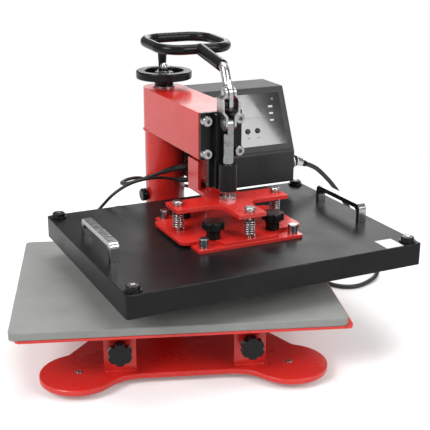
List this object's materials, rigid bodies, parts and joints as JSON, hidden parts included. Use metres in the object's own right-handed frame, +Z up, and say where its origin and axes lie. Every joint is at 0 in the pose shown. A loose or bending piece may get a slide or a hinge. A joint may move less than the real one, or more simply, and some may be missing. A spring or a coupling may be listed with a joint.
{
  "type": "combo heat press",
  "caption": "Bench heat press with a swing-away arm, toggle lever, sprung heated upper platen, padded lower platen, pressure handwheel and a control box with a power cord.",
  "frame": {"origin": "centre of the footprint of the press as pictured, cables left out, on the floor", "axes": "+Z up, -Y towards the operator's front edge of the base, +X to the operator's right"},
  "size_m": [0.5123, 0.6362, 0.3602],
  "materials": {
    "red_paint": "gloss",
    "black_sheet": "satin",
    "black_cast": "satin",
    "box_paint": "textured",
    "chrome": "polished",
    "zinc": "satin",
    "heater_aluminium": "satin",
    "pad_silicone": "matte",
    "foot_rubber": "matte",
    "knob_plastic": "gloss",
    "grip_plastic": "satin",
    "panel_plastic": "satin",
    "label_film": "gloss",
    "display_glass": "gloss",
    "cord_jacket": "satin",
    "bronze": "satin",
    "spring_steel": "satin"
  },
  "bodies": {
    "stand": {"base_plate": "red_paint", "rubber_feet": "foot_rubber", "foot_screws": "zinc", "platen_posts": "red_paint", "lower_carrier": "red_paint", "lower_pad": "pad_silicone", "column_post": "red_paint", "post_nut": "zinc"},
    "carriage": {"thrust_washer": "zinc"},
    "wheel": {"handwheel": "knob_plastic", "pressure_screw": "chrome"},
    "spinner": {"wheel_spinner": "knob_plastic"},
    "head": {"swing_sleeve": "red_paint", "arm": "red_paint", "front_plate": "black_cast", "front_bolts": "zinc", "guide_block": "black_cast", "fulcrum_pin": "chrome", "control_box": "box_paint", "box_back": "box_paint", "panel_bezel": "panel_plastic", "panel_label": "label_film", "display_window": "display_glass", "box_plugs": "knob_plastic", "power_cord": "cord_jacket", "power_cord_coil": "cord_jacket", "mains_plug": "cord_jacket", "heater_cable": "cord_jacket", "sensor_cable": "cord_jacket"},
    "column_knob": {"column_knob": "knob_plastic"},
    "button_1": {"panel_button_1": "knob_plastic"},
    "button_2": {"panel_button_2": "knob_plastic"},
    "button_3": {"panel_button_3": "knob_plastic"},
    "lever": {"lever_bar": "zinc", "crank_pin": "chrome", "grip": "grip_plastic"},
    "links": {"link_straps": "chrome"},
    "ram": {"ram_shaft": "chrome", "ram_nuts": "zinc", "spring_bracket": "red_paint", "guide_cheeks": "red_paint", "spring_bushings": "bronze", "press_springs": "spring_steel"},
    "platen": {"heater_plate": "heater_aluminium", "heating_element": "zinc", "platen_cover": "black_sheet", "cover_caps": "knob_plastic", "cap_screws": "zinc", "mount_plate": "red_paint", "cross_plate": "red_paint", "spring_bolts": "zinc", "corner_studs": "zinc", "side_handles": "chrome", "rear_glands": "knob_plastic"},
    "platen_knob_1": {"platen_knob_1": "knob_plastic"},
    "platen_knob_2": {"platen_knob_2": "knob_plastic"},
    "platen_knob_3": {"platen_knob_3": "knob_plastic"},
    "platen_knob_4": {"platen_knob_4": "knob_plastic"},
    "lower_knob_left": {"lower_knob_left": "knob_plastic"},
    "lower_knob_right": {"lower_knob_right": "knob_plastic"}
  },
  "joints": [
    {"name": "head_height", "type": "slide", "parent": "stand", "child": "carriage", "axis": [0, 0, 1], "range_m": [0, 0.006]},
    {"name": "wheel_turn", "type": "hinge", "parent": "carriage", "child": "wheel", "pos_m": [-0.04723, 0.14987, 0.3055], "axis": [0, 0, 1], "range_deg": [0, 720.01]},
    {"name": "spinner_turn", "type": "hinge", "parent": "wheel", "child": "spinner", "pos_m": [-0.04723, 0.18137, 0.3055], "axis": [0, 0, 1], "continuous": true},
    {"name": "head_swing", "type": "hinge", "parent": "carriage", "child": "head", "pos_m": [-0.04723, 0.14987, 0.104], "axis": [0, 0, 1], "range_deg": [-19, 71]},
    {"name": "column_lock", "type": "hinge", "parent": "head", "child": "column_knob", "pos_m": [-0.07342, 0.14086, 0.13], "axis": [-0.9455, -0.3256, 0], "range_deg": [0, 360]},
    {"name": "lever_pull", "type": "hinge", "parent": "head", "child": "lever", "pos_m": [0.01746, -0.038, 0.295], "axis": [0.9455, 0.3256, 0], "range_deg": [0, 180]},
    {"name": "links_swing", "type": "hinge", "parent": "lever", "child": "links", "pos_m": [0.01746, -0.038, 0.3092], "axis": [0.9455, 0.3256, 0], "range_deg": [-180.01, 0]},
    {"name": "ram_slide", "type": "slide", "parent": "head", "child": "ram", "axis": [0, 0, -1], "range_m": [0, 0.02841]},
    {"name": "platen_float", "type": "slide", "parent": "ram", "child": "platen", "axis": [0, 0, 1], "range_m": [0, 0.004], "stiffness_N_per_m": 8000, "springref_m": -0.01, "deforming": ["press_springs"]},
    {"name": "button_1_press", "type": "slide", "parent": "head", "child": "button_1", "axis": [-0.2962, 0.8604, -0.4148], "range_m": [0, 0.0008], "stiffness_N_per_m": 500},
    {"name": "button_2_press", "type": "slide", "parent": "head", "child": "button_2", "axis": [-0.2962, 0.8604, -0.4148], "range_m": [0, 0.0008], "stiffness_N_per_m": 500},
    {"name": "button_3_press", "type": "slide", "parent": "head", "child": "button_3", "axis": [-0.2962, 0.8604, -0.4148], "range_m": [0, 0.0008], "stiffness_N_per_m": 500},
    {"name": "platen_knob_1_turn", "type": "hinge", "parent": "platen", "child": "platen_knob_1", "pos_m": [-0.00683, -0.09184, 0.1446], "axis": [0, 0, 1], "range_deg": [0, 360]},
    {"name": "platen_knob_2_turn", "type": "hinge", "parent": "platen", "child": "platen_knob_2", "pos_m": [-0.03483, -0.01053, 0.1446], "axis": [0, 0, 1], "range_deg": [0, 360]},
    {"name": "platen_knob_3_turn", "type": "hinge", "parent": "platen", "child": "platen_knob_3", "pos_m": [0.06975, -0.06547, 0.1446], "axis": [0, 0, 1], "range_deg": [0, 360]},
    {"name": "platen_knob_4_turn", "type": "hinge", "parent": "platen", "child": "platen_knob_4", "pos_m": [0.04175, 0.01584, 0.1446], "axis": [0, 0, 1], "range_deg": [0, 360]},
    {"name": "lower_knob_left_turn", "type": "hinge", "parent": "stand", "child": "lower_knob_left", "pos_m": [-0.12223, -0.16713, 0.044], "axis": [0, -1, 0], "range_deg": [0, 360]},
    {"name": "lower_knob_right_turn", "type": "hinge", "parent": "stand", "child": "lower_knob_right", "pos_m": [0.02777, -0.16713, 0.044], "axis": [0, -1, 0], "range_deg": [0, 360]}
  ],
  "couplings": [
    {"joint": "wheel_turn", "follows": "head_height", "rad_per_m": 2094.4},
    {"joint": "links_swing", "follows": "lever_pull", "ratio": -1},
    {"joint": "ram_slide", "follows": "lever_pull", "m_per_rad": 0.00904}
  ]
}
